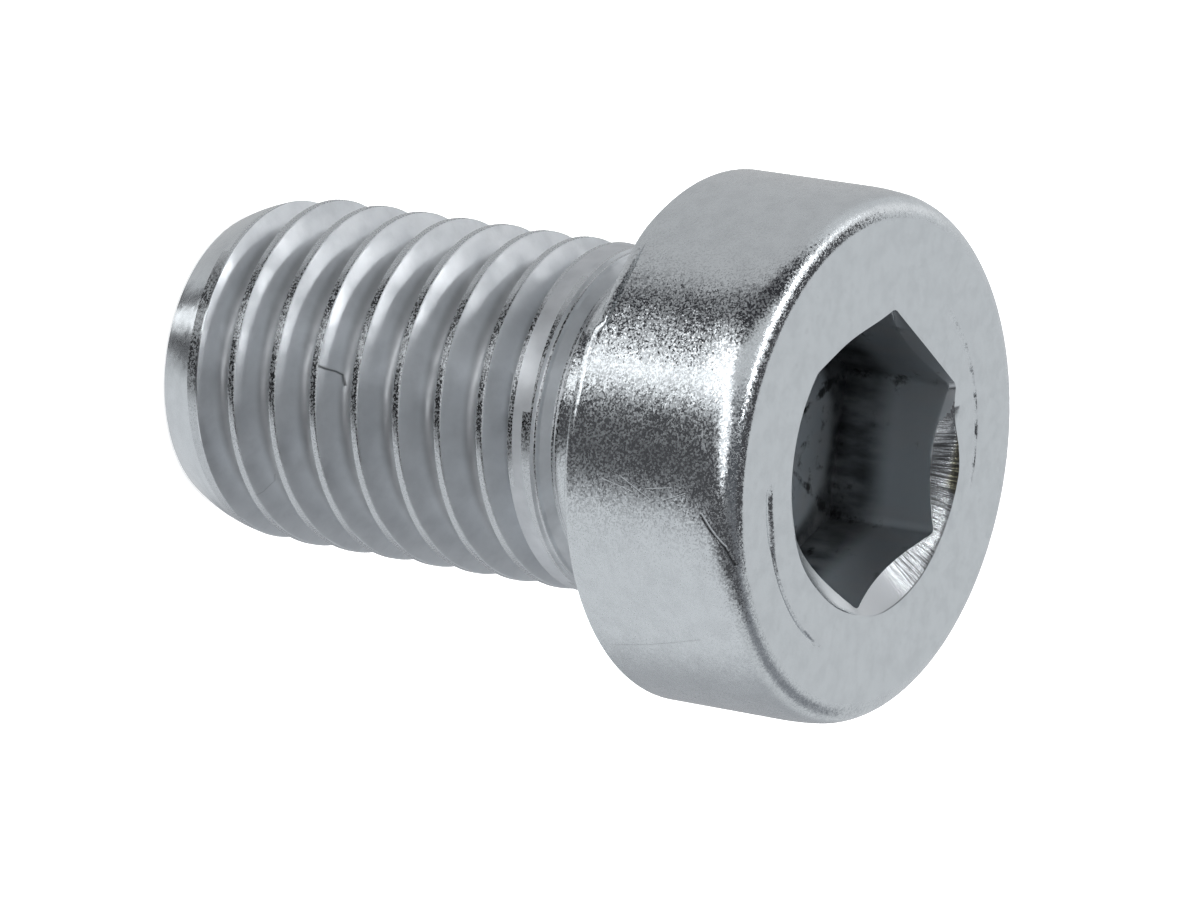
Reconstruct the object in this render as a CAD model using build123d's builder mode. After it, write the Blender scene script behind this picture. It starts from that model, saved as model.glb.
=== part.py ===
"""Low-head hexagon socket screw with a rolled M14 thread, in millimetres.

The screw stands on its threaded end: Z runs up its axis from the end face, through the head, to the socket.
"""
import os
from math import atan, ceil, cos, degrees, radians, sqrt, tan

from build123d import *

# Shank
shank_length = 22.4
end_round_length = 3.5
neck_length = 4.0
neck_diameter = 12.6
neck_flare = 0.5

# Thread, right-handed: its last full turn ends at a distance under the head, and the groove then runs out
thread_diameter = 13.9
thread_pitch = 2.0
flank_half_angle = 30.0
crest_width_share = 0.15
root_width_share = 0.2
overrun_share = 0.25
runout_distance = 5.0
runout_length = 1.1

# Head
head_diameter = 21.0
head_height = 7.6
head_edge_radius = 1.0
bearing_edge_chamfer = 0.2

# Hexagon socket
socket_width = 10.1
socket_depth = 5.0
socket_turn = 5.5
mouth_diameter = 12.3
mouth_angle = 120.0
mouth_inner_share = 0.25

# Heights along the axis, from the end face
bearing_height = shank_length
top_height = shank_length + head_height
crest_top = bearing_height - neck_length
runout_height = bearing_height - runout_distance

# Radii that follow from the diameters
thread_radius = thread_diameter / 2
neck_radius = neck_diameter / 2
head_radius = head_diameter / 2
mouth_radius = mouth_diameter / 2

# The end is rounded on a sphere about the axis, which meets the shank smoothly
end_radius = sqrt(thread_radius**2 - end_round_length**2)

# The conical mouth stops inside the hexagon, above the socket's floor
mouth_inner_radius = mouth_inner_share * socket_width
mouth_depth = (mouth_radius - mouth_inner_radius) / tan(radians(mouth_angle / 2))

# Groove between two crests: straight flanks run down to a narrow root
flank_slope = tan(radians(flank_half_angle))
crest_width = crest_width_share * thread_pitch
root_width = root_width_share * thread_pitch
groove_half_width = (thread_pitch - crest_width) / 2
groove_depth = (groove_half_width - root_width / 2) / flank_slope

# The groove is drawn out a little past the crests, and stays narrower there than the pitch
groove_overrun = overrun_share * crest_width / flank_slope
brim_half_width = groove_half_width + groove_overrun * flank_slope

# Full turns start below the end face; over the run-out the groove climbs towards the crests and leaves the shank
full_turns = ceil(runout_height / thread_pitch) + 1
runout_turns = ceil(runout_length / thread_pitch)
climb_per_turn = (groove_depth + groove_overrun) * thread_pitch / runout_length


def groove_turn(height, lift, climb):
    """One turn of the groove, from a height upwards, lifted off the full depth and climbing further out."""
    climb_angle = degrees(atan(climb / thread_pitch))
    turn_line = Helix(
        thread_pitch / cos(radians(climb_angle)),
        thread_pitch,
        thread_radius + lift,
        center=(0, 0, height),
        cone_angle=climb_angle,
    )
    brim_place = thread_radius + groove_overrun + lift
    root_place = thread_radius - groove_depth + lift
    with BuildPart() as groove:
        with BuildSketch(Plane.XZ):
            with BuildLine():
                Polyline(
                    (brim_place, height - brim_half_width),
                    (root_place, height - root_width / 2),
                    (root_place, height + root_width / 2),
                    (brim_place, height + brim_half_width),
                    close=True,
                )
            make_face()
        sweep(path=turn_line, is_frenet=True)
    return groove.part


full_groove = [groove_turn(runout_height - (turn + 1) * thread_pitch, 0, 0) for turn in range(full_turns)]
runout_groove = [
    groove_turn(runout_height + turn * thread_pitch, turn * climb_per_turn, climb_per_turn)
    for turn in range(runout_turns)
]

with BuildPart() as bolt:
    # Blank: rounded end, shank, neck with a flare under the head, and the head with an eased bearing edge
    with BuildSketch(Plane.XZ):
        with BuildLine():
            TangentArc((thread_radius, end_round_length), (end_radius, 0), tangent=(0, -1))
            Polyline(
                (thread_radius, end_round_length),
                (thread_radius, crest_top),
                (neck_radius, crest_top + thread_radius - neck_radius),
                (neck_radius, bearing_height - neck_flare),
                (neck_radius + neck_flare, bearing_height),
                (head_radius - bearing_edge_chamfer, bearing_height),
                (head_radius, bearing_height + bearing_edge_chamfer),
                (head_radius, top_height),
                (0, top_height),
                (0, 0),
                (end_radius, 0),
            )
        make_face()
    revolve(axis=Axis.Z)

    # Rounded top edge of the head
    top_edge = bolt.edges().filter_by(GeomType.CIRCLE).group_by(Axis.Z)[-1]
    fillet(top_edge, radius=head_edge_radius)

    # Socket: a blind hexagon under a conical mouth, which leaves a scallop on each of its walls
    with BuildSketch(Plane.XY.offset(top_height)):
        RegularPolygon(radius=socket_width / 2, side_count=6, major_radius=False, rotation=socket_turn)
    extrude(amount=-socket_depth, mode=Mode.SUBTRACT)
    with BuildSketch(Plane.XZ):
        with BuildLine():
            Polyline(
                (0, top_height),
                (mouth_radius, top_height),
                (mouth_inner_radius, top_height - mouth_depth),
                (0, top_height - mouth_depth),
                close=True,
            )
        make_face()
    revolve(axis=Axis.Z, mode=Mode.SUBTRACT)

    # Thread
    for groove in full_groove + runout_groove:
        add(groove, mode=Mode.SUBTRACT)

bolt.part.label = "bolt"

os.makedirs("parts", exist_ok=True)
export_step(bolt.part, "parts/bolt.step")
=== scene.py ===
"""Zinc-plated low-head socket bolt on a pale studio floor, laid out as a Blender add-on.

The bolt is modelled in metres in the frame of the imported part: it stands on its threaded end, with Z up its
axis. Turns round the axis are given in degrees from the side that faces the camera, towards X.
"""
from math import cos, pi, radians, sin, tan

import bpy
import numpy as np
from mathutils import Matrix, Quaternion, Vector


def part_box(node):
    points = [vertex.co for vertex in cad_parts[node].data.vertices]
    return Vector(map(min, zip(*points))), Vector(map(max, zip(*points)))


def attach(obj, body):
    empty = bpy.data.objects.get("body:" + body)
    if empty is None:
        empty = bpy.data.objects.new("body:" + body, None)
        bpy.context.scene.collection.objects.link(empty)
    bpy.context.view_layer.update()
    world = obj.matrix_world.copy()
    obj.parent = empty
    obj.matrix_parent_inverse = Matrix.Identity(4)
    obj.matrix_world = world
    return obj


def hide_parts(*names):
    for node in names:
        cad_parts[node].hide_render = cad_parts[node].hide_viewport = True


bl_info = {
    "name": "Low-head socket bolt",
    "version": (1, 0, 0),
    "blender": (4, 5, 0),
    "location": "View3D > Sidebar > Bolt",
    "description": "Models a zinc-plated low-head socket bolt with a rolled thread, and its studio",
    "category": "Add Mesh",
}

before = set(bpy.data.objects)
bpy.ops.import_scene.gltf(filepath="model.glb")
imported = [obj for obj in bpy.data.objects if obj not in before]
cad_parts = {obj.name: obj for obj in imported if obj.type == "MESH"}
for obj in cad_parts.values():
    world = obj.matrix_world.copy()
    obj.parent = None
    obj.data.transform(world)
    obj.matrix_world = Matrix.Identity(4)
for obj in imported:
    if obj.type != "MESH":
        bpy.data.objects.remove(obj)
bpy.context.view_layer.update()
NODE_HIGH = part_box("bolt")[1]

MM = 0.001

# A length too small to matter where places are compared
TINY = 1e-7

# Width of the camera's sensor in millimetres, and the nearest distance that it sees
SENSOR_WIDTH = 36.0
NEAREST = 10 * MM

# The floor lies this little under the end face, so that the two faces don't coincide
FLOOR_GAP = -0.02 * MM

# Columns of faces round the axis: a multiple of six, so that each corner of the hexagon has its own
COLUMNS = 240


def number(label, description, default, **limits):
    """A number property."""
    return bpy.props.FloatProperty(name=label, description=description, default=default, **limits)


def length(label, description, millimetres):
    """A length property, given in millimetres."""
    return number(label, description, millimetres * MM, min=0.0, unit="LENGTH", precision=5)


def slant(label, description, degrees):
    """An angle property, given in degrees."""
    return number(label, description, radians(degrees), subtype="ANGLE")


def spot(label, description, millimetres):
    """A place property, given in millimetres."""
    return bpy.props.FloatVectorProperty(
        name=label, description=description, default=[value * MM for value in millimetres], size=3,
        subtype="TRANSLATION", unit="LENGTH", precision=5,
    )


def tint(label, description, default):
    """A colour property."""
    return bpy.props.FloatVectorProperty(
        name=label, description=description, default=default, min=0.0, max=1.0, size=3, subtype="COLOR"
    )


class BoltSizes(bpy.types.PropertyGroup):
    """Sizes of the bolt, from the frame where it gives them"""

    top_height: length("Overall length", "From the end face to the top of the head", NODE_HIGH.z / MM)
    head_radius: length("Head radius", "Radius of the head's side", NODE_HIGH.y / MM)
    bearing_height: length("Bearing height", "From the end face to the ring under the head", 22.4)
    head_edge: length("Top edge", "Width and height of the head's rounded top edge", 1.0)
    crown_height: length("Crown height", "Height of the curve below the top edge", 1.2)
    bearing_edge: length("Bearing edge", "Size of the eased edge under the head", 0.2)
    edge_dent: length("Edge dent", "How much larger the eased edge is where it was knocked", 0.3)
    edge_groove: length("Edge groove", "Depth of the fine groove beside the eased edge", 0.04)
    neck_radius: length("Neck radius", "Radius of the plain neck under the head", 6.3)
    neck_flare: length("Neck flare", "Flare of the neck where it meets the head", 0.5)
    crest_top: length("Crest top", "Height where the crests end and the neck begins", 18.4)
    crest_radius: length("Crest radius", "Radius of the thread's crests", 6.95)
    pitch: length("Pitch", "Rise of the thread in one turn", 2.0)
    root_half_width: length("Half root", "Half the width of the groove's root", 0.2)
    crest_half_width: length("Half crest", "Half the width of a crest", 0.15)
    end_round: length("End round", "Length of the rounded end", 3.5)
    end_band: length("End band", "Height up to which the groove fades into the rounded end", 2.3)
    runout_height: length("Run-out height", "Height where the last full turn ends", 17.4)
    runout_length: length("Run-out length", "Height over which the groove climbs out of the shank", 1.1)
    lip_height: length("Lip height", "Height of the groove where its upper flank starts to close in", 15.6)
    lip_hollow: length("Lip hollow", "Depth of the hollow between the lips of the last crest", 0.05)
    ridge_proud: length("Neck ridge", "How far the fine ridges stand out of the neck", 0.07)
    face_mark: length("Face mark", "Depth of the shallow arcs in the top of the head", 0.09)
    socket_half_width: length("Half socket", "From the axis to a flat of the hexagon", 5.05)
    socket_corner: length("Socket corner", "From the axis to the rounded corners of the hexagon", 5.78)
    socket_depth: length("Socket depth", "From the top of the head to the socket's floor", 5.0)
    mouth_radius: length("Mouth radius", "Radius of the socket's conical mouth at the top", 6.15)
    socket_turn: slant("Socket turn", "Turn of the hexagon's corners from X", 5.5)
    flank_angle: slant("Flank angle", "Half the angle between two flanks", 30.0)
    mouth_angle: slant("Mouth angle", "Half the angle of the mouth's cone", 57.0)


class BoltFinish(bpy.types.PropertyGroup):
    """Colours and wear of the bolt"""

    zinc: tint("Zinc", "Bright plating", (0.735, 0.768, 0.788))
    # Also the colour of the painted shade on the far side of the mouth
    zinc_shade: tint("Dull zinc", "Plating where it is dull or thin", (0.50, 0.52, 0.54))
    flank_zinc: tint("Flank zinc", "Satin plating on the flanks of the thread", (0.77, 0.795, 0.82))
    socket_steel: tint("Socket steel", "Steel inside the socket", (0.48, 0.52, 0.55))
    # Dark residue, and also the colour of the painted shade at the thread's roots and on the crests' camera
    # side
    stain_and_shade: tint("Stain", "Dark residue in the socket", (0.018, 0.018, 0.020))
    oil: tint("Oil", "Olive film on the socket's mouth", (0.34, 0.33, 0.24))


class StudioSettings(bpy.types.PropertyGroup):
    """Camera, floor and overhead lamp"""

    camera_place: spot("Camera place", "Where the camera stands", (0.0, -292.64, 208.72))
    camera_target: spot("Camera target", "Point in the middle of the picture", (1.32, 0.0, 17.22))
    camera_roll: slant("Camera roll", "Turn of the camera about its own view", 99.37)
    lens: number("Lens", "Focal length on a 36 mm sensor", 266.12, min=1.0, unit="CAMERA")
    floor_radius: length("Floor radius", "Radius of the studio floor", 1500.0)
    floor_tint: tint("Floor", "Pale floor", (0.90, 0.90, 0.90))
    floor_glow: number("Floor glow", "Light that the floor itself gives off", 0.4, min=0.0)
    lamp_height: length("Lamp height", "Height of the overhead lamp", 600.0)
    lamp_width: length("Lamp width", "Width of the overhead lamp", 1400.0)
    lamp_power: number("Lamp power", "Power of the overhead lamp", 13.0, min=0.0, unit="POWER")


# Drawing and turning profiles


def draw_profile(name, points):
    """A wire through points of radius and height, drawn by extruding one vertex from point to point."""
    bpy.ops.object.select_all(action="DESELECT")
    bpy.ops.mesh.primitive_plane_add(size=MM, location=(0, 0, 0))
    wire = bpy.context.object
    wire.name = name
    bpy.ops.object.mode_set(mode="EDIT")
    bpy.ops.mesh.select_all(action="SELECT")
    bpy.ops.mesh.merge(type="CENTER")

    # A fresh edit mode numbers the vertices in the order they are drawn
    bpy.ops.object.mode_set(mode="OBJECT")
    bpy.ops.object.mode_set(mode="EDIT")
    places = [Vector((radius, 0.0, height)) for radius, height in points]
    bpy.ops.transform.translate(value=places[0])
    for here, there in zip(places, places[1:]):
        bpy.ops.mesh.extrude_vertices_move(TRANSFORM_OT_translate={"value": there - here})
    bpy.ops.object.mode_set(mode="OBJECT")
    return wire


def turn_profile(wire, turns=1, pitch=0.0):
    """Turn a wire round the axis, rising by a pitch in each turn, and return the number of its columns."""
    rows = len(wire.data.vertices)
    bpy.ops.object.modifier_add(type="SCREW")
    screw = wire.modifiers[-1]
    screw.axis = "Z"
    screw.angle = 2 * pi
    screw.screw_offset = pitch
    screw.iterations = turns
    screw.steps = COLUMNS
    screw.render_steps = COLUMNS
    bpy.ops.object.modifier_apply(modifier=screw.name)
    return len(wire.data.vertices) // rows


def set_points(piece, angle, radius, height):
    """Put a turned wire's points at these angles, radii and heights."""
    places = np.stack((radius * np.cos(angle), radius * np.sin(angle), height), axis=-1)
    piece.data.vertices.foreach_set("co", places.reshape(-1))
    piece.data.update()


def arc(centre, radius, start, end, steps):
    """Points of an arc, in radius and height, between two angles in degrees."""
    turn = [radians(start + (end - start) * step / steps) for step in range(steps + 1)]
    return [(centre[0] + radius * cos(a), centre[1] + radius * sin(a)) for a in turn]


def smooth(value):
    """A smooth step from 0 to 1."""
    value = np.clip(value, 0.0, 1.0)
    return value * value * (3 - 2 * value)


def between(value, start, end, fade_in, fade_out):
    """One between a start and an end, fading in smoothly after the start and out before the end."""
    return smooth((value - start) / fade_in) * smooth((end - value) / fade_out)


def turn_from_camera(angle):
    """Degrees from the side that faces the camera, between -180 and 180."""
    return (np.degrees(angle) + 270.0) % 360.0 - 180.0


# Thread


def thread_root(sizes):
    """Radius of the groove's root at full depth."""
    depth = (sizes.pitch / 2 - sizes.crest_half_width - sizes.root_half_width) / tan(sizes.flank_angle)
    return sizes.crest_radius - depth


def blank_radius(sizes, height):
    """Radius of the shank before its thread is rolled: rounded end, cylinder, cone and neck."""
    # Rows below the end face, which are moved up to it later, still need a radius
    deepest = 1.2 * sizes.end_round
    least = 0.5 * sizes.crest_radius
    below = np.clip(sizes.end_round - height, 0.0, deepest)
    rounded = np.sqrt(np.maximum(sizes.crest_radius**2 - below**2, least**2))
    cone = sizes.crest_radius - np.maximum(height - sizes.crest_top, 0.0)
    return np.minimum(rounded, np.maximum(cone, sizes.neck_radius))


def groove_lift(sizes, centre):
    """How far the groove's root has risen out of full depth, where its centre is at this height."""
    overrun = 0.13 * MM
    end_lift = 0.75 * MM
    end_fade = 0.9 * MM
    climb = (sizes.crest_radius - thread_root(sizes) + overrun) / sizes.runout_length
    at_end = end_lift * smooth((sizes.end_band - centre) / end_fade)
    return climb * np.maximum(centre - sizes.runout_height, 0.0) + at_end


def upper_corner(sizes, centre):
    """Offset of the groove's upper corner: on the last turn the upper flank closes in on the lower one."""
    closing = 0.354
    full = sizes.pitch / 2 - sizes.crest_half_width
    return full - closing * np.maximum(centre - sizes.lip_height, 0.0)


def groove_radius(sizes, offset, centre):
    """Radius of the groove at an offset from its centre: straight flanks and a rounded root."""
    half_root = sizes.root_half_width
    slope = tan(sizes.flank_angle)
    away = np.abs(offset)
    root_round = half_root / tan((pi / 2 - sizes.flank_angle) / 2)
    tangent = root_round * cos(sizes.flank_angle)
    rounded = root_round - np.sqrt(np.maximum(root_round**2 - np.minimum(away, tangent) ** 2, 0.0))
    straight = (away - half_root) / slope
    groove = thread_root(sizes) + groove_lift(sizes, centre) + np.where(away < tangent, rounded, straight)
    closing = sizes.crest_radius - (upper_corner(sizes, centre) - offset) / slope
    return np.where(centre > sizes.lip_height, np.maximum(groove, closing), groove)


def shank_radius(sizes, angle, height):
    """Radius of the threaded shank at any angle and height."""
    rise = sizes.runout_height + sizes.pitch * angle / (2 * pi)
    offset = (height - rise + sizes.pitch / 2) % sizes.pitch - sizes.pitch / 2
    centre = height - offset
    radius = np.minimum(blank_radius(sizes, height), groove_radius(sizes, offset, centre))

    # The wide last crest is hollow between two lips
    crest_reach = 0.9 * MM
    lip_width = 0.22 * MM
    last_edge = rise + sizes.pitch * np.floor((sizes.crest_top - crest_reach - rise) / sizes.pitch)
    lower_edge = last_edge + upper_corner(sizes, last_edge)
    inside = np.minimum(height - lower_edge, sizes.crest_top - height) / lip_width
    return radius - sizes.lip_hollow * smooth(inside)


# Rows of half a pitch, as shares of the groove's half width and of the crest's
GROOVE_ROWS = (0.0, 0.2, 0.34, 0.52, 0.74, 0.94, 1.0)
CREST_ROWS = (0.3, 0.6, 1.0)


def crest_corner(sizes, centre, side):
    """Offset of a crest's corner, where the flank on that side of the groove meets the blank."""
    rounds = 6
    least = 0.02 * MM
    full = sizes.pitch / 2 - sizes.crest_half_width
    corner = np.full(centre.shape, full)
    for _ in range(rounds):
        room = blank_radius(sizes, centre + side * corner) - thread_root(sizes) - groove_lift(sizes, centre)
        corner = np.clip(sizes.root_half_width + room * tan(sizes.flank_angle), least, full)
    closed = np.clip(upper_corner(sizes, centre), least, full)
    return np.where(side > 0, np.minimum(corner, closed), corner)


def build_thread(sizes):
    """Threaded shank: one pitch turned up the axis, then fitted to the rounded end and the run-out."""
    half_pitch = sizes.pitch / 2
    groove_half = half_pitch - sizes.crest_half_width
    above = [s * groove_half for s in GROOVE_ROWS]
    above += [groove_half + s * sizes.crest_half_width for s in CREST_ROWS]
    offsets = [-u for u in reversed(above)] + above[1:]
    start = sizes.runout_height + sizes.pitch * sizes.socket_turn / (2 * pi)
    turns_below = int(start / sizes.pitch) + 2
    turns_above = int((sizes.crest_top - start) / sizes.pitch) + 2
    first = start - turns_below * sizes.pitch
    wire = draw_profile("thread", [(sizes.crest_radius, first + u) for u in offsets])
    column = np.arange(turn_profile(wire, turns_below + turns_above, sizes.pitch))[:, None]
    angle = sizes.socket_turn + 2 * pi * column / COLUMNS
    centre = first + sizes.pitch * column / COLUMNS
    offset, angle, centre = np.broadcast_arrays(np.array(offsets), angle, centre)
    away = np.abs(offset)
    side = np.sign(offset)

    # The rows on either side of a crest's corner are drawn to it
    corner = crest_corner(sizes, centre, side)
    on_groove = away / groove_half * corner
    on_crest = corner + (away - groove_half) / sizes.crest_half_width * (half_pitch - corner)
    height = centre + side * np.where(away <= groove_half + TINY, on_groove, on_crest)

    # The mesh ends at the end face and at the crest top
    snap = 0.001 * MM
    height = np.where(height < snap, 0.0, height)
    height = np.where(height > sizes.crest_top - snap, sizes.crest_top, height)

    # Crests have an eased corner where the groove is deep enough
    corner_ease = 0.02 * MM
    ease_depth = 0.3 * MM
    deep = (blank_radius(sizes, height) - thread_root(sizes) - groove_lift(sizes, centre)) / ease_depth
    is_corner = np.isclose(away, groove_half, atol=TINY) & (height > 0.0) & (height < sizes.crest_top)
    ease = np.where(is_corner, corner_ease * np.clip(deep, 0.0, 1.0), 0.0)
    set_points(wire, angle, shank_radius(sizes, angle, height) - ease, height)
    return wire


# Head, neck and socket

# Rows of the eased bearing edge, and of the head's side as shares of its height, close beside that edge
EDGE_ROWS = 6
SIDE_ROWS = (0.008, 0.016, 0.026, 0.036, 0.046, 0.06) + tuple(0.1 + 0.03 * step for step in range(30))

# The side leans in by this angle where the rounded top edge starts, and that edge meets the top in a crease
CROWN_SLOPE = radians(8.0)
EDGE_END = radians(78.0)
TOP_EDGE_ROWS = 16

# Rows of the flat face, down to a narrow land round the mouth
FACE_ROWS = 40
MOUTH_LAND = 0.05 * MM

# Rows of the socket, as shares of the way down its mouth, down its walls and in across its floor
MOUTH_ROWS = (0.0, 0.03, 0.08, 0.16, 0.27, 0.4, 0.53, 0.66, 0.78, 0.9, 0.97)
WALL_ROWS = (0.0, 0.03, 0.12, 0.3, 0.5, 0.7, 0.88, 0.96, 1.0)
FLOOR_ROWS = (0.05, 0.2, 0.45, 0.7, 0.9, 1.0)


def neck_ridge(sizes, height):
    """Fine ridges that the rolling leaves round the top of the shank."""
    ridges = (18.58 * MM, 19.09 * MM)
    half_width = 0.075 * MM
    shares = [np.clip(1 - np.abs(height - ridge) / half_width, 0.0, 1.0) for ridge in ridges]
    return sizes.ridge_proud * sum(shares)


def crown_inset(sizes, height):
    """How far the head's side lies in from its full radius, where it starts to curve towards the top edge."""
    start = sizes.top_height - sizes.head_edge - sizes.crown_height
    return tan(CROWN_SLOPE) / (2 * sizes.crown_height) * max(height - start, 0.0) ** 2


def head_profile(sizes):
    """Half section of the neck and head, from the crest top to the rim of the socket's mouth."""
    neck = sizes.neck_radius
    flare = sizes.neck_flare
    bearing = sizes.bearing_height
    edge = sizes.bearing_edge

    # Neck: fine rows beside the crests, then wider ones up to the flare and across the ring under the head
    fine_step, neck_step, ring_step = 0.0375 * MM, 0.5 * MM, 0.75 * MM
    heights = [sizes.crest_top + step * fine_step for step in range(24)]
    points = [(max(sizes.crest_radius - (height - sizes.crest_top), neck), height) for height in heights]
    points += [(neck, heights[-1] + step * neck_step) for step in range(1, 6)]
    points += arc((neck + flare, bearing - flare), flare, 180, 90, 6)
    points += [(neck + flare + step * ring_step, bearing) for step in range(1, 5)]

    # Side of the head
    points += arc((sizes.head_radius - edge, bearing + edge), edge, -90, 0, EDGE_ROWS)
    side_top = sizes.top_height - sizes.head_edge
    side_low = bearing + edge
    heights = [side_low + (side_top - side_low) * up for up in SIDE_ROWS]
    points += [(sizes.head_radius - crown_inset(sizes, height), height) for height in heights]

    # Rounded top edge and face
    face_outer = sizes.head_radius - sizes.head_edge
    face_inner = sizes.mouth_radius + MOUTH_LAND
    shoulder = sizes.head_radius - crown_inset(sizes, side_top)
    edge_round = (shoulder - face_outer) / (cos(CROWN_SLOPE) - cos(EDGE_END))
    centre = (shoulder - edge_round * cos(CROWN_SLOPE), sizes.top_height - edge_round * sin(EDGE_END))
    turn = EDGE_END - CROWN_SLOPE
    slopes = [CROWN_SLOPE + turn * step / TOP_EDGE_ROWS for step in range(TOP_EDGE_ROWS + 1)]
    points += [(centre[0] + edge_round * cos(slope), centre[1] + edge_round * sin(slope)) for slope in slopes]
    radii = [face_outer + (face_inner - face_outer) * step / FACE_ROWS for step in range(1, FACE_ROWS + 1)]
    points += [(radius, sizes.top_height) for radius in radii]
    return points


def set_bearing_edge(sizes, profile, angle, radius, height):
    """Eased bearing edge: larger where it was knocked, with a fine groove beside it on the camera's side."""
    turned = turn_from_camera(angle[:, 0])
    edge = sizes.bearing_edge + sizes.edge_dent * between(turned, -46.0, -18.0, 14.0, 2.0)
    first = int(np.argmax(profile[:, 0] > sizes.head_radius - sizes.bearing_edge - TINY))
    for step in range(EDGE_ROWS + 1):
        turn = radians(-90 + 90 * step / EDGE_ROWS)
        radius[:, first + step] = sizes.head_radius - edge + edge * cos(turn)
        height[:, first + step] = sizes.bearing_height + edge + edge * sin(turn)
    low = sizes.bearing_height + edge
    side_top = sizes.top_height - sizes.head_edge
    groove = between(turned, -48.0, 14.0, 10.0, 16.0)
    groove_section = (0.0, 0.35, 1.0, 0.35, 0.0)
    for step, depth in enumerate(groove_section):
        row = first + EDGE_ROWS + 1 + step
        height[:, row] = low + (side_top - low) * SIDE_ROWS[step]
        radius[:, row] -= sizes.edge_groove * depth * groove


def face_marks(sizes, angle, radius):
    """Depth of the two shallow arcs in the top of the head, left by the heading tool."""
    turned = turn_from_camera(angle) % 360.0

    # The first arc starts wide and thins out
    first_radius, first_width, first_gain = 7.70 * MM, 0.11 * MM, 0.17 * MM
    width = first_width + first_gain * smooth((34.0 - turned) / 8.0)
    first = smooth(1 - np.abs(radius - first_radius) / width) * between(turned, 11.6, 78.0, 3.0, 14.0)

    # The second one is shallower and broken into dashes
    second_radius, second_width, second_share = 7.10 * MM, 0.13 * MM, 0.8
    dashes = 0.55 + 0.45 * np.sin(np.radians(58.0 * turned)) * np.sin(np.radians(23.0 * turned))
    second = dashes * smooth(1 - np.abs(radius - second_radius) / second_width)
    second = second * between(turned, 174.0, 244.0, 6.0, 6.0)
    return sizes.face_mark * (first + second_share * second)


def hexagon_radius(sizes, angle):
    """Distance from the axis to the hexagon's wall, its corners a little rounded."""
    turned = (angle - sizes.socket_turn) % (pi / 3) - pi / 6
    return np.minimum(sizes.socket_half_width / np.cos(turned), sizes.socket_corner)


def mouth_rim(sizes, angle):
    """Radius of the mouth's rim: flared by the punch, but hardly broken along its upper edge."""
    turned = turn_from_camera(angle)
    upper = between(turned, -182.0, -16.0, 36.0, 10.0)
    lower = between(turned, 42.0, 112.0, 24.0, 26.0)
    narrow, gain, lower_inset = 0.10 * MM, 0.44 * MM, 0.16 * MM
    broken = hexagon_radius(sizes, angle) + narrow + gain * smooth((turned + 90.0) / 45.0)
    flared = sizes.mouth_radius - lower_inset * lower
    return flared + (np.minimum(broken, flared) - flared) * upper


def mouth_depth(sizes, angle, along):
    """Depth of the mouth, from its rim to the hexagon: a cone, steep at once on the camera's side."""
    turned = turn_from_camera(angle)
    near = between(turned, -108.0, 96.0, 16.0, 16.0)
    far = between(turned % 360.0, 138.0, 214.0, 16.0, 14.0)
    straight, near_bend, far_bend = 1.02, -0.47, 0.5
    foot = (sizes.mouth_radius - hexagon_radius(sizes, angle)) / tan(sizes.mouth_angle)
    return foot * along ** (straight + near_bend * near + far_bend * far)


def build_head(sizes):
    """Neck, head and socket: a half section turned round the axis, its inner rows then set on the hexagon."""
    outside = head_profile(sizes)
    inside = [("mouth", along) for along in MOUTH_ROWS]
    inside += [("wall", along) for along in WALL_ROWS]
    inside += [("floor", along) for along in FLOOR_ROWS]
    drops = [0.1 * MM * step for step in range(1, len(inside) + 1)]
    profile = outside + [(sizes.mouth_radius - drop, sizes.top_height - drop) for drop in drops]
    wire = draw_profile("head", profile)
    column = np.arange(turn_profile(wire))[:, None]
    profile = np.array(profile)
    angle = np.tile(sizes.socket_turn + 2 * pi * column / COLUMNS, (1, len(profile)))
    radius = np.tile(profile[:, 0], (len(column), 1))
    height = np.tile(profile[:, 1], (len(column), 1))

    # The run-out groove still marks the cone below the neck, and fine ridges stand on it
    on_shank = profile[:, 1] < sizes.crest_top + 2 * MM
    radius[:, on_shank] = shank_radius(sizes, angle[:, on_shank], height[:, on_shank])
    radius[:, on_shank] += neck_ridge(sizes, height[:, on_shank])

    set_bearing_edge(sizes, profile, angle, radius, height)

    # Shallow arcs in the face, clear of its inner rows
    on_top = profile[:, 1] > sizes.top_height - TINY
    on_face = on_top & (profile[:, 0] > sizes.mouth_radius + 2 * MOUTH_LAND)
    height[:, on_face] -= face_marks(sizes, angle[:, on_face], radius[:, on_face])

    # Socket
    floor = sizes.top_height - sizes.socket_depth
    hexagon = hexagon_radius(sizes, angle[:, 0])
    rim = mouth_rim(sizes, angle[:, 0])
    scallop = sizes.top_height - mouth_depth(sizes, angle[:, 0], 1.0)
    for row, (part, along) in enumerate(inside, start=len(outside)):
        if part == "mouth":
            radius[:, row] = rim + (hexagon - rim) * along
            height[:, row] = sizes.top_height - mouth_depth(sizes, angle[:, 0], along)
        elif part == "wall":
            radius[:, row] = hexagon
            height[:, row] = scallop + (floor - scallop) * along
        else:
            radius[:, row] = hexagon * (1 - along)
            height[:, row] = floor
    set_points(wire, angle, radius, height)
    return wire


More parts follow.
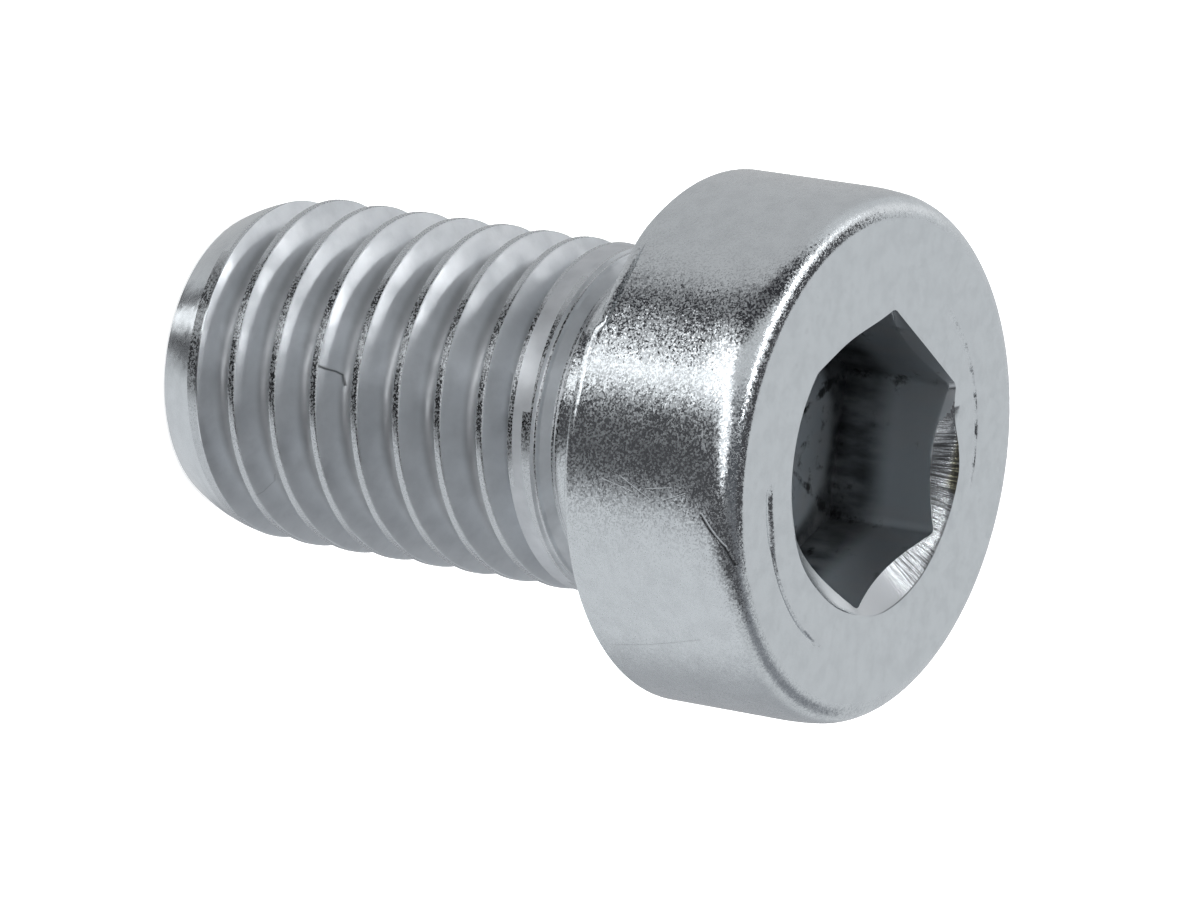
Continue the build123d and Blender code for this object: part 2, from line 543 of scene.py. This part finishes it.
def close_bolt(thread, head):
    """Join the thread and the head into one closed mesh, with its end face filled."""
    merge_reach = 0.0005 * MM
    end_inset = 0.5
    crease = radians(42)
    bpy.ops.object.select_all(action="DESELECT")
    thread.select_set(True)
    head.select_set(True)
    bpy.context.view_layer.objects.active = head
    bpy.ops.object.join()
    bolt = bpy.context.object
    bolt.name = "bolt_plated"
    bolt.data.name = "bolt_plated"
    bpy.ops.object.mode_set(mode="EDIT")
    bpy.ops.mesh.select_all(action="SELECT")
    bpy.ops.mesh.remove_doubles(threshold=merge_reach)

    # The only open edge left is the ring round the end face
    bpy.ops.mesh.select_mode(type="EDGE")
    bpy.ops.mesh.select_all(action="DESELECT")
    bpy.ops.mesh.select_non_manifold(
        extend=False, use_wire=False, use_multi_face=False, use_non_contiguous=False
    )
    bpy.ops.mesh.extrude_edges_move()
    bpy.ops.transform.resize(value=(end_inset, end_inset, 1.0), center_override=(0, 0, 0))
    bpy.ops.mesh.edge_face_add()
    bpy.ops.mesh.select_all(action="SELECT")
    bpy.ops.mesh.normals_make_consistent(inside=False)
    bpy.ops.object.mode_set(mode="OBJECT")
    bpy.ops.object.shade_smooth_by_angle(angle=crease)
    return bolt


# Node trees


class Board:
    """A node tree, with short ways to add nodes and to set or link their inputs."""

    def __init__(self, tree):
        self.tree = tree

    def add(self, kind, inputs=None, **settings):
        """A new node, with its settings and with its inputs set to values or linked to outputs."""
        made = self.tree.nodes.new(kind)
        for key, value in settings.items():
            setattr(made, key, value)
        for key, value in (inputs or {}).items():
            self.feed(made.inputs[key], value)
        return made

    def feed(self, socket, value):
        """Link an output to an input, or set the input to a value; a colour gets full opacity."""
        if isinstance(value, bpy.types.NodeSocket):
            self.tree.links.new(value, socket)
        elif socket.type == "RGBA":
            socket.default_value = (*value, 1.0)
        else:
            socket.default_value = value

    def math(self, operation, *values):
        """The result of a Math node."""
        return self.add("ShaderNodeMath", dict(enumerate(values)), operation=operation).outputs[0]

    def times(self, first, second):
        """The product of two numbers."""
        return self.math("MULTIPLY", first, second)

    def vector(self, operation, *values):
        """The vector that a Vector Math node gives."""
        return self.add("ShaderNodeVectorMath", dict(enumerate(values)), operation=operation).outputs[0]

    def measure(self, operation, *values):
        """The number that a Vector Math node gives."""
        return self.add("ShaderNodeVectorMath", dict(enumerate(values)), operation=operation).outputs[1]

    def scaled(self, vector, factor):
        """A vector times a number."""
        return self.add("ShaderNodeVectorMath", {0: vector, "Scale": factor}, operation="SCALE").outputs[0]

    def bearing(self, split):
        """Degrees from the camera's side towards X, of a vector that is split into its coordinates."""
        nearness = self.times(split["Y"], -1.0)
        return self.math("DEGREES", self.math("ARCTAN2", split["X"], nearness))

    def turned(self, angle, centre):
        """Degrees between an angle and a centre, whichever way round."""
        return self.math("ABSOLUTE", self.math("WRAP", self.math("SUBTRACT", angle, centre), 180.0, -180.0))

    def window(self, value, start, end, low=0.0, high=1.0):
        """A smooth step of a value, from low at its start to high at its end."""
        ranges = {"Value": value, "From Min": start, "From Max": end, "To Min": low, "To Max": high}
        return self.add("ShaderNodeMapRange", ranges, interpolation_type="SMOOTHSTEP").outputs[0]

    def noise(self, place, scale, detail=2.0, roughness=0.5):
        """The value of a noise texture."""
        inputs = {"Vector": place, "Scale": scale, "Detail": detail, "Roughness": roughness}
        return self.add("ShaderNodeTexNoise", inputs).outputs[0]

    def blend(self, share_of_second, first, second):
        """A colour between two colours."""
        made = self.add("ShaderNodeMix", data_type="RGBA")
        self.feed(made.inputs["Factor"], share_of_second)
        self.feed(made.inputs[6], first)
        self.feed(made.inputs[7], second)
        return made.outputs[2]

    def group(self, tree, **inputs):
        """A node group placed in this tree."""
        made = self.add("ShaderNodeGroup", node_tree=tree)
        for key, value in inputs.items():
            self.feed(made.inputs[key.replace("_", " ").capitalize()], value)
        return made


def new_group(name, inputs, outputs):
    """A shader node group with named inputs, their defaults, and named outputs."""
    kinds = {float: "NodeSocketFloat", tuple: "NodeSocketVector"}
    tree = bpy.data.node_groups.new(name, "ShaderNodeTree")
    for label, default in inputs.items():
        socket = tree.interface.new_socket(name=label, in_out="INPUT", socket_type=kinds[type(default)])
        socket.default_value = default
    for label, kind in outputs.items():
        tree.interface.new_socket(name=label, in_out="OUTPUT", socket_type=kinds[kind])
    board = Board(tree)
    return board, board.add("NodeGroupInput").outputs, board.add("NodeGroupOutput").inputs


# Studio tent: panels round the bolt. Each is placed by the surfaces that mirror it to the camera: by the
# bearing of their normal from the camera's side, and its rise above the head's side, both in degrees.

TENT = (0.635, 0.65, 0.665)
PANELS = (
    # name, bearing, half width, rise, half height, lean, softness, colour
    ("left wall", -60.0, 33.0, 0.0, 34.0, 0.0, 6.0, (0.525, 0.53, 0.54)),
    ("upper left wall", -70.0, 32.0, 57.0, 9.0, 0.0, 5.0, (0.86, 0.865, 0.875)),
    ("lower right wall", 36.0, 24.0, 0.0, 34.0, 0.0, 7.0, (0.70, 0.715, 0.735)),
    ("back low", 79.0, 21.0, 0.0, 34.0, 0.0, 9.0, (0.42, 0.43, 0.45)),
    ("under side", 0.0, 180.0, -75.0, 35.0, 0.0, 8.0, (0.24, 0.245, 0.26)),
    ("right wall", 46.0, 46.0, 58.0, 9.0, 0.0, 5.0, (0.24, 0.25, 0.27)),
    ("ceiling", 3.0, 13.0, 52.0, 24.0, 0.0, 6.0, (0.10, 0.105, 0.115)),
    ("edge shade", -22.0, 50.0, 70.5, 9.5, 0.0, 1.6, (0.07, 0.07, 0.075)),
    ("soft window", -22.0, 9.0, 31.0, 18.0, 0.3, 4.0, (0.60, 0.61, 0.62)),
    ("dark flag", -21.8, 8.8, 0.0, 48.0, 0.45, 2.4, (0.035, 0.035, 0.04)),
    ("camera side", 4.0, 11.5, 0.0, 60.0, -0.5, 4.0, (0.075, 0.075, 0.08)),
    ("window", -10.9, 4.0, -22.0, 26.0, 0.0, 1.2, (1.38, 1.40, 1.42)),
    ("window corner", -19.5, 6.0, 20.0, 18.0, -0.67, 1.5, (1.9, 1.92, 1.95)),
    ("strip end", -57.0, 11.0, 54.5, 1.4, 0.0, 1.2, (1.6, 1.62, 1.65)),
    ("strip light", -28.5, 19.5, 54.5, 0.9, 0.0, 0.8, (14.0, 14.1, 14.2)),
)
BACKDROP = (1.0, 1.0, 1.0)


def panel_group():
    """Mask of one panel of the tent, from the bearing and rise of the normal that mirrors a ray."""
    inputs = {
        "Bearing": 0.0, "Rise": 0.0, "Centre": 0.0, "Half width": 10.0, "Middle": 0.0, "Half height": 10.0,
        "Lean": 0.0, "Softness": 3.0,
    }
    board, given, made = new_group("studio_panel", inputs, {"Mask": float})
    leaned = board.math("ADD", given["Bearing"], board.times(given["Lean"], given["Rise"]))
    turn = board.turned(leaned, given["Centre"])
    climb = board.math("ABSOLUTE", board.math("SUBTRACT", given["Rise"], given["Middle"]))
    masks = []
    for away, half in ((turn, given["Half width"]), (climb, given["Half height"])):
        start = board.math("ADD", half, given["Softness"])
        end = board.math("SUBTRACT", half, given["Softness"])
        masks.append(board.window(away, start, end))
    board.feed(made["Mask"], board.times(*masks))
    return board.tree


def hang_tent(world, towards_camera):
    """Light the world as a tent of panels; the camera itself sees a plain pale backdrop."""
    board = Board(world.node_tree)
    world.node_tree.nodes.clear()
    ray = board.add("ShaderNodeTexCoord").outputs["Generated"]
    normal = board.vector("NORMALIZE", board.vector("ADD", ray, towards_camera))
    split = board.add("ShaderNodeSeparateXYZ", {0: normal}).outputs
    bearing = board.bearing(split)
    rise = board.math("DEGREES", board.math("ARCSINE", split["Z"]))
    mask_tree = panel_group()
    colour = TENT
    for name, centre, half_width, middle, half_height, lean, softness, level in PANELS:
        panel = board.group(
            mask_tree, bearing=bearing, rise=rise, centre=centre, half_width=half_width, middle=middle,
            half_height=half_height, lean=lean, softness=softness,
        )
        panel.label = name
        colour = board.blend(panel.outputs["Mask"], colour, level)
    tent = board.add("ShaderNodeBackground", {"Color": colour})
    plain = board.add("ShaderNodeBackground", {"Color": BACKDROP})
    is_camera = board.add("ShaderNodeLightPath").outputs["Is Camera Ray"]
    mix = board.add("ShaderNodeMixShader", {0: is_camera, 1: tent.outputs[0], 2: plain.outputs[0]})
    board.add("ShaderNodeOutputWorld", {"Surface": mix.outputs[0]})


# Finishes

# Keeps what lies across the axis, without the height
ACROSS = (1.0, 1.0, 0.0)

# How dull the plating is at most in its broad, soft patches
MOTTLE = 0.22

# Marks on the side of the head and on the flanks of the thread: their points, each a turn from the camera's
# side in degrees and a height in millimetres, their half width in millimetres and their strength
HEAD_MARKS = (
    (((17.1, 28.72), (24.0, 29.58), (28.5, 29.80)), 0.09, 0.75),
    (((55.4, 23.03), (52.7, 25.08), (48.1, 27.7)), 0.04, 0.16),
    (((12.8, 24.2), (14.6, 25.6)), 0.03, 0.30),
    (((11.6, 25.0), (15.6, 26.4)), 0.03, 0.28),
    (((13.6, 26.2), (12.4, 27.4)), 0.03, 0.25),
    (((15.4, 27.0), (13.2, 28.0)), 0.03, 0.25),
)
FLANK_MARKS = (
    (((-1.6, 7.94), (-0.9, 8.2), (-0.6, 8.45), (0.3, 8.62), (4.0, 8.72)), 0.07, 0.75),
    (((44.5, 4.05), (47.0, 3.98), (49.5, 4.15), (50.3, 4.5), (49.0, 4.8), (46.5, 4.85)), 0.04, 0.2),
)

# Width of one degree in millimetres, round the side of the head and round the crests of the thread
HEAD_DEGREE = 0.183
FLANK_DEGREE = 0.12

# Painted shade: the flanks darken towards the root of the groove: radii in millimetres where that starts and
# ends, and its strength
FLANK_ROOT_SHADE = (6.2, 5.88, 0.36)


def place_group():
    """Where a point lies on the bolt, in millimetres and in degrees from the side that faces the camera."""
    outputs = {"Place": tuple, "Angle": float, "Radius": float, "Height": float}
    board, _, made = new_group("bolt_place", {}, outputs)
    here = board.add("ShaderNodeTexCoord").outputs["Object"]
    place = board.vector("MULTIPLY", here, (1 / MM, 1 / MM, 1 / MM))
    split = board.add("ShaderNodeSeparateXYZ", {0: place}).outputs
    board.feed(made["Place"], place)
    board.feed(made["Angle"], board.bearing(split))
    board.feed(made["Radius"], board.measure("LENGTH", board.vector("MULTIPLY", place, ACROSS)))
    board.feed(made["Height"], split["Z"])
    return board.tree


def grain_group():
    """Grain of the plating: small facets that lean at random, specks that scatter light, and flecks."""
    inputs = {"Normal": (0.0, 0.0, 1.0), "Place": (0.0, 0.0, 0.0), "Grain size": 0.12, "Tilt": 0.1}
    outputs = {"Normal": tuple, "Specks": float, "Flecks": float}
    board, given, made = new_group("plating_grain", inputs, outputs)
    place = given["Place"]
    fine = board.math("DIVIDE", 1.0, given["Grain size"])
    broad, patchy, flecked = (board.times(fine, coarser) for coarser in (0.25, 0.12, 0.22))

    # Lean of the facets, drifting a little over a broader noise
    half = (0.5, 0.5, 0.5)
    facets = board.add("ShaderNodeTexVoronoi", {"Vector": place, "Scale": fine}).outputs["Color"]
    waves = board.add("ShaderNodeTexNoise", {"Vector": place, "Scale": broad, "Detail": 2.0}).outputs["Color"]
    drift = board.vector("MULTIPLY", board.vector("SUBTRACT", waves, half), half)
    lean = board.vector("ADD", board.vector("SUBTRACT", facets, half), drift)
    lean = board.vector("ADD", given["Normal"], board.scaled(lean, given["Tilt"]))
    board.feed(made["Normal"], board.vector("NORMALIZE", lean))

    # Specks are another set of cells, thicker in some patches
    shifted = board.vector("ADD", place, (3.7, 1.3, 2.9))
    cells = board.add("ShaderNodeTexVoronoi", {"Vector": shifted, "Scale": fine}).outputs["Color"]
    cell = board.add("ShaderNodeSeparateColor", {0: cells}).outputs[0]
    patch = board.times(board.noise(place, patchy, 2.0, 0.5), 0.5)
    board.feed(made["Specks"], board.window(board.math("ADD", cell, patch), 0.72, 1.0))
    board.feed(made["Flecks"], board.window(board.noise(place, flecked, 3.0, 0.6), 0.60, 0.72))
    return board.tree


def line_group():
    """Mask of one straight mark between two points, each an angle in degrees and a height in millimetres."""
    inputs = {
        "Angle": 0.0, "Height": 0.0, "Start": (0.0, 0.0, 0.0), "End": (1.0, 1.0, 0.0), "Width": 0.1,
        "Degree": HEAD_DEGREE,
    }
    board, given, made = new_group("drawn_line", inputs, {"Mask": float})
    stretch = board.add("ShaderNodeCombineXYZ", {0: given["Degree"], 1: 1.0, 2: 0.0}).outputs[0]
    here = board.add("ShaderNodeCombineXYZ", {0: given["Angle"], 1: given["Height"], 2: 0.0}).outputs[0]
    start = board.vector("MULTIPLY", given["Start"], stretch)
    reach = board.vector("SUBTRACT", board.vector("MULTIPLY", given["End"], stretch), start)
    offset = board.vector("SUBTRACT", board.vector("MULTIPLY", here, stretch), start)
    reach_squared = board.measure("DOT_PRODUCT", reach, reach)
    along = board.math("DIVIDE", board.measure("DOT_PRODUCT", offset, reach), reach_squared)
    along = board.add("ShaderNodeClamp", {0: along}).outputs[0]
    away = board.measure("LENGTH", board.vector("SUBTRACT", offset, board.scaled(reach, along)))
    board.feed(made["Mask"], board.window(away, given["Width"], 0.0))
    return board.tree


def drawn_marks(board, groups, place, marks, degree):
    """Mask of marks that run from point to point; each has its points, its half width and its strength."""
    mask = 0.0
    for points, width, strength in marks:
        for start, end in zip(points, points[1:]):
            line = board.group(
                groups["line"], angle=place["Angle"], height=place["Height"], start=(*start, 0.0),
                end=(*end, 0.0), width=width, degree=degree,
            )
            mask = board.math("MAXIMUM", mask, board.times(line.outputs["Mask"], strength))
    return mask


def new_material(name, groups):
    """A metal material: the material, its board, its shader node, and where a point lies on the bolt."""
    material = bpy.data.materials.new(name)
    material.use_nodes = True
    shader = material.node_tree.nodes["Principled BSDF"]
    shader.inputs["Metallic"].default_value = 1.0
    board = Board(material.node_tree)
    return material, board, shader, board.group(groups["place"]).outputs


def add_grain(board, groups, place, grain_size, tilt):
    """The plating's grain on a material's own surface."""
    normal = board.add("ShaderNodeNewGeometry").outputs["Normal"]
    return board.group(
        groups["grain"], normal=normal, place=place["Place"], grain_size=grain_size, tilt=tilt
    ).outputs


def zinc_material(
    name, tones, groups, tilt, grain_size, roughness, specks, flecks, marks=(), degree=HEAD_DEGREE,
    hollow=None,
):
    """Zinc with a grain of facets and specks, dull flecks and patches, drawn marks, and painted shade towards
    the thread's root.
    """
    bright, dull_and_shade, dark = tones
    material, board, shader, place = new_material(name, groups)
    grain = add_grain(board, groups, place, grain_size, tilt)
    mottle = board.window(board.noise(place["Place"], 1.1, 4.0, 0.6), 0.38, 0.68, 0.0, MOTTLE)
    spotted = board.math("MAXIMUM", mottle, board.times(grain["Flecks"], flecks))
    colour = board.blend(spotted, bright, dull_and_shade)
    # Painted shade, darkening the flanks towards the root of the groove
    if hollow:
        outer, inner, strength = hollow
        colour = board.blend(board.window(place["Radius"], outer, inner, 0.0, strength), colour, dark)
    wander = board.noise(place["Place"], 0.7, 3.0, 0.55)
    polish = board.window(wander, 0.3, 0.7, roughness * 0.8, roughness * 1.25)
    scatter = board.times(grain["Specks"], specks)
    board.feed(shader.inputs["Roughness"], board.math("ADD", polish, scatter))
    surface = grain["Normal"]
    if marks:
        drawn = drawn_marks(board, groups, place, marks, degree)
        colour = board.blend(drawn, colour, dark)
        sunk = board.times(drawn, -1.0)
        bump = {"Strength": 0.8, "Distance": 0.03 * MM, "Height": sunk, "Normal": surface}
        surface = board.add("ShaderNodeBump", bump).outputs[0]
    board.feed(shader.inputs["Base Color"], colour)
    board.feed(shader.inputs["Normal"], surface)
    return material


def crest_material(finish, groups):
    """Zinc on the crests of the thread, with a grain that leans more on the camera's side, where painted
    shade darkens it in specks.
    """
    material, board, shader, place = new_material("zinc_crest", groups)
    # The camera's side of the crests, where the grain leans more and painted shade darkens it
    rubbed_and_shaded = board.window(board.turned(place["Angle"], -9.0), 30.0, 18.0)
    tilt = board.window(rubbed_and_shaded, 0.0, 1.0, 0.07, 0.13)
    grain = add_grain(board, groups, place, 0.055, tilt)
    # Painted shade: dark specks on the camera's side
    dark = board.times(rubbed_and_shaded, board.window(grain["Specks"], 1.0, 0.0, 0.1, 0.7))
    worn = board.blend(0.45, finish.zinc, finish.zinc_shade)
    board.feed(shader.inputs["Base Color"], board.blend(dark, worn, finish.stain_and_shade))
    board.feed(shader.inputs["Roughness"], board.window(grain["Specks"], 0.0, 1.0, 0.2, 0.42))
    board.feed(shader.inputs["Normal"], grain["Normal"])
    return material


def mouth_material(finish, groups):
    """Zinc on the socket's mouth, brushed down the cone by the punch, with an olive film on its far side,
    where painted shade darkens it but for a painted highlight.
    """
    material, board, shader, place = new_material("zinc_mouth", groups)
    middles = (164.0, 157.0, 184.0)
    brushed_side, painted_glint_side, film_side = (board.turned(place["Angle"], middle) for middle in middles)

    # The punch has brushed the far side only; the rest of the cone is as smooth as the face
    worn = board.window(brushed_side, 44.0, 26.0)
    unit = board.vector("NORMALIZE", board.vector("MULTIPLY", place["Place"], ACROSS))
    brushed = board.vector("ADD", unit, board.vector("MULTIPLY", place["Place"], (0.0, 0.0, 0.012)))
    streak = board.noise(brushed, 80.0, 4.0, 0.65)

    # Painted shade darkens the far side, but for a painted highlight that stays bright, and it is darkest in
    # the streaks under the film
    painted_glint = board.window(painted_glint_side, 15.0, 5.0)
    dull_and_shade = board.window(brushed_side, 90.0, 60.0, 0.0, 0.9)
    dull_and_shade = board.times(dull_and_shade, board.window(painted_glint, 1.0, 0.0))
    colour = board.blend(dull_and_shade, finish.zinc, finish.zinc_shade)
    patch = board.noise(place["Place"], 1.6, 4.0, 0.6)
    film = board.times(board.window(patch, 0.36, 0.52), board.window(place["Radius"], 5.55, 5.85))
    film = board.times(film, board.window(film_side, 17.0, 8.0))
    colour = board.blend(film, colour, finish.oil)
    dirt = board.math("ADD", streak, board.window(film_side, 34.0, 8.0, 0.0, 0.10))
    dark = board.times(board.window(dirt, 0.48, 0.66, 0.0, 0.85), worn)
    # The painted highlight also lightens the streaks
    dark = board.times(dark, board.window(painted_glint, 0.0, 1.0, 1.0, 0.6))
    board.feed(shader.inputs["Base Color"], board.blend(dark, colour, finish.stain_and_shade))
    board.feed(shader.inputs["Roughness"], board.window(worn, 0.0, 1.0, 0.26, 0.2))
    bump = {"Strength": 1.0, "Distance": 0.06 * MM, "Height": board.times(streak, worn)}
    board.feed(shader.inputs["Normal"], board.add("ShaderNodeBump", bump).outputs[0])
    return material


def socket_material(finish, groups):
    """Dull steel inside the socket, darker towards the foot of its walls, with black residue, more of it low
    down and along its corners.
    """
    material, board, shader, place = new_material("socket_steel", groups)
    height = place["Height"]

    # Smeared steel, darker in smears towards the foot of the walls
    smear = board.noise(board.vector("MULTIPLY", place["Place"], (1.0, 1.0, 0.35)), 0.9, 4.0, 0.55)
    steel = board.blend(board.window(smear, 0.35, 0.7), finish.socket_steel, finish.zinc_shade)
    foot = board.times(board.window(height, 27.6, 26.2), board.window(place["Radius"], 4.0, 4.7))
    film = board.times(foot, board.window(smear, 0.7, 0.3, 0.5, 0.92))
    steel = board.blend(film, steel, finish.stain_and_shade)

    # Black lumps, more of them low down and along the six corners, one of which lies at this turn
    corner_turn = 35.5
    turn = board.math("RADIANS", board.math("SUBTRACT", place["Angle"], corner_turn))
    folds = board.math("ABSOLUTE", board.math("SINE", board.times(turn, 3.0)))
    corner = board.window(folds, 0.22, 0.03, 0.0, 0.13)
    corner = board.times(corner, board.window(height, 28.6, 27.6))
    low = board.math("ADD", board.window(height, 27.2, 25.2, 0.0, 0.07), corner)
    lumps = board.math("ADD", board.noise(place["Place"], 1.0, 7.0, 0.66), low)
    stain_and_shade = board.window(lumps, 0.60, 0.80, 0.0, 0.92)
    board.feed(shader.inputs["Base Color"], board.blend(stain_and_shade, steel, finish.stain_and_shade))
    board.feed(shader.inputs["Roughness"], board.window(stain_and_shade, 0.0, 1.0, 0.50, 0.7))
    return material


def bolt_finishes(finish):
    """The bolt's materials, by the surface that each one is for."""
    groups = {"place": place_group(), "grain": grain_group(), "line": line_group()}
    bright = (finish.zinc, finish.zinc_shade, finish.stain_and_shade)
    satin = (finish.flank_zinc, finish.zinc_shade, finish.stain_and_shade)
    return {
        "head": zinc_material(
            "zinc_head", bright, groups, tilt=0.11, grain_size=0.06, roughness=0.12, specks=0.22, flecks=0.15,
            marks=HEAD_MARKS,
        ),
        "face": zinc_material(
            "zinc_face", bright, groups, tilt=0.03, grain_size=0.18, roughness=0.20, specks=0.02, flecks=0.2
        ),
        "crest": crest_material(finish, groups),
        "flank": zinc_material(
            "zinc_flank", satin, groups, tilt=0.03, grain_size=0.30, roughness=0.50, specks=0.0, flecks=0.12,
            marks=FLANK_MARKS, degree=FLANK_DEGREE, hollow=FLANK_ROOT_SHADE,
        ),
        "mouth": mouth_material(finish, groups),
        "socket": socket_material(finish, groups),
    }


def read_faces(mesh, key):
    """One vector of each of a mesh's faces."""
    flat = np.empty(len(mesh.polygons) * 3)
    mesh.polygons.foreach_get(key, flat)
    return flat.reshape(-1, 3)


def finish_bolt(bolt, sizes, finish):
    """Give each surface of the bolt its finish, by its place and normal."""
    finishes = bolt_finishes(finish)
    order = list(finishes)
    for material in finishes.values():
        bolt.data.materials.append(material)
    centre = read_faces(bolt.data, "center")
    up = read_faces(bolt.data, "normal")[:, 2]
    radius = np.hypot(centre[:, 0], centre[:, 1])
    height = centre[:, 2]
    index = np.full(len(height), order.index("head"))

    # Shank: crests lie on the blank, flanks below it
    crest_depth = 0.035 * MM
    on_shank = height < sizes.crest_top + 1.0 * MM
    on_blank = radius > blank_radius(sizes, height) - crest_depth
    index[on_shank] = order.index("flank")
    index[on_shank & on_blank & (np.abs(up) < 0.6)] = order.index("crest")

    # Past the first crest the rounded end is smooth
    crest_reach = sizes.crest_half_width + 0.03 * MM
    band_top = sizes.end_band + 0.3 * MM
    edge_top = 0.6 * MM
    rise = sizes.runout_height + sizes.pitch * np.arctan2(centre[:, 1], centre[:, 0]) / (2 * pi)
    off_crest = np.abs((height - rise) % sizes.pitch - sizes.pitch / 2) > crest_reach
    end_band = on_blank & ((off_crest & (height < band_top)) | (height < edge_top))
    index[end_band] = order.index("face")

    # Head: the flat face, the sloping mouth, and the walls and floor of the socket
    mouth_reach = 2 * MM
    near_top = height > sizes.top_height - mouth_reach
    in_bore = (radius < sizes.mouth_radius) & (height > sizes.bearing_height)
    index[in_bore & (up > 0.3)] = order.index("mouth")
    index[in_bore & ((up < 0.35) | (height < sizes.top_height - mouth_reach))] = order.index("socket")
    index[near_top & (up > 0.99)] = order.index("face")
    bolt.data.polygons.foreach_set("material_index", index.astype(np.int32))


class BOLT_OT_add_bolt(bpy.types.Operator):
    """Model the bolt with its thread, head and socket, and give it its plating"""

    bl_idname = "bolt.add_bolt"
    bl_label = "Add bolt"
    bl_options = {"REGISTER", "UNDO"}

    def execute(self, context):
        sizes = context.scene.bolt_sizes
        bolt = close_bolt(build_thread(sizes), build_head(sizes))
        finish_bolt(bolt, sizes, context.scene.bolt_finish)
        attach(bolt, "root")
        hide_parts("bolt")
        return {"FINISHED"}


class BOLT_OT_add_stage(bpy.types.Operator):
    """Lay the pale floor and set up the studio light and the camera"""

    bl_idname = "bolt.add_stage"
    bl_label = "Add studio"
    bl_options = {"REGISTER", "UNDO"}

    def execute(self, context):
        studio = context.scene.bolt_studio
        self.lay_floor(context, studio)
        self.set_lights(context, studio)
        self.set_camera(context, studio)
        context.scene.view_settings.view_transform = "Standard"
        return {"FINISHED"}

    def lay_floor(self, context, studio):
        """Pale floor that the bolt's metal doesn't mirror."""
        bpy.ops.object.select_all(action="DESELECT")
        bpy.ops.mesh.primitive_circle_add(
            vertices=96, radius=studio.floor_radius, fill_type="NGON", location=(0, 0, FLOOR_GAP)
        )
        floor = context.object
        floor.name = "studio_floor"
        floor.visible_glossy = False
        material = bpy.data.materials.new("pale_floor")
        material.use_nodes = True
        shader = material.node_tree.nodes["Principled BSDF"]
        board = Board(material.node_tree)
        board.feed(shader.inputs["Base Color"], studio.floor_tint)
        board.feed(shader.inputs["Roughness"], 0.9)
        board.feed(shader.inputs["Emission Color"], studio.floor_tint)
        board.feed(shader.inputs["Emission Strength"], studio.floor_glow)
        floor.data.materials.append(material)

    def set_lights(self, context, studio):
        """The tent that the metal mirrors, and a soft overhead lamp for the floor."""
        world = bpy.data.worlds.new("studio")
        context.scene.world = world
        world.use_nodes = True
        towards_camera = Vector(studio.camera_place) - Vector(studio.camera_target)
        hang_tent(world, towards_camera.normalized())
        bpy.ops.object.light_add(type="AREA", location=(0, 0, studio.lamp_height))
        lamp = context.object
        lamp.name = "overhead"
        lamp.data.shape = "DISK"
        lamp.data.size = studio.lamp_width
        lamp.data.energy = studio.lamp_power
        lamp.visible_glossy = False
        lamp.visible_camera = False

    def set_camera(self, context, studio):
        """Camera at the photograph's viewing angle."""
        bpy.ops.object.camera_add(location=studio.camera_place)
        camera = context.object
        camera.name = "photo_camera"
        view = Vector(studio.camera_target) - Vector(studio.camera_place)
        camera.rotation_mode = "QUATERNION"
        camera.rotation_quaternion = view.to_track_quat("-Z", "Y") @ Quaternion((0, 0, 1), studio.camera_roll)
        camera.data.lens = studio.lens
        camera.data.sensor_width = SENSOR_WIDTH
        camera.data.clip_start = NEAREST
        context.scene.camera = camera


class BOLT_PT_sidebar(bpy.types.Panel):
    """Sidebar tab with the bolt's sizes, finish and studio"""

    bl_idname = "BOLT_PT_sidebar"
    bl_label = "Bolt"
    bl_space_type = "VIEW_3D"
    bl_region_type = "UI"
    bl_category = "Bolt"

    def draw(self, context):
        for group in (context.scene.bolt_sizes, context.scene.bolt_finish, context.scene.bolt_studio):
            box = self.layout.box()
            for key in group.__annotations__:
                box.prop(group, key)
        self.layout.operator(BOLT_OT_add_bolt.bl_idname)
        self.layout.operator(BOLT_OT_add_stage.bl_idname)


CLASSES = (BoltSizes, BoltFinish, StudioSettings, BOLT_OT_add_bolt, BOLT_OT_add_stage, BOLT_PT_sidebar)


def register():
    """Add the classes, and their settings to the scene."""
    for cls in CLASSES:
        bpy.utils.register_class(cls)
    bpy.types.Scene.bolt_sizes = bpy.props.PointerProperty(type=BoltSizes)
    bpy.types.Scene.bolt_finish = bpy.props.PointerProperty(type=BoltFinish)
    bpy.types.Scene.bolt_studio = bpy.props.PointerProperty(type=StudioSettings)


def unregister():
    """Take the settings and the classes away again."""
    del bpy.types.Scene.bolt_studio
    del bpy.types.Scene.bolt_finish
    del bpy.types.Scene.bolt_sizes
    for cls in reversed(CLASSES):
        bpy.utils.unregister_class(cls)


def main():
    """Set up the studio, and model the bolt."""
    register()
    bpy.ops.bolt.add_stage()
    bpy.ops.bolt.add_bolt()


if __name__ == "__main__":
    main()
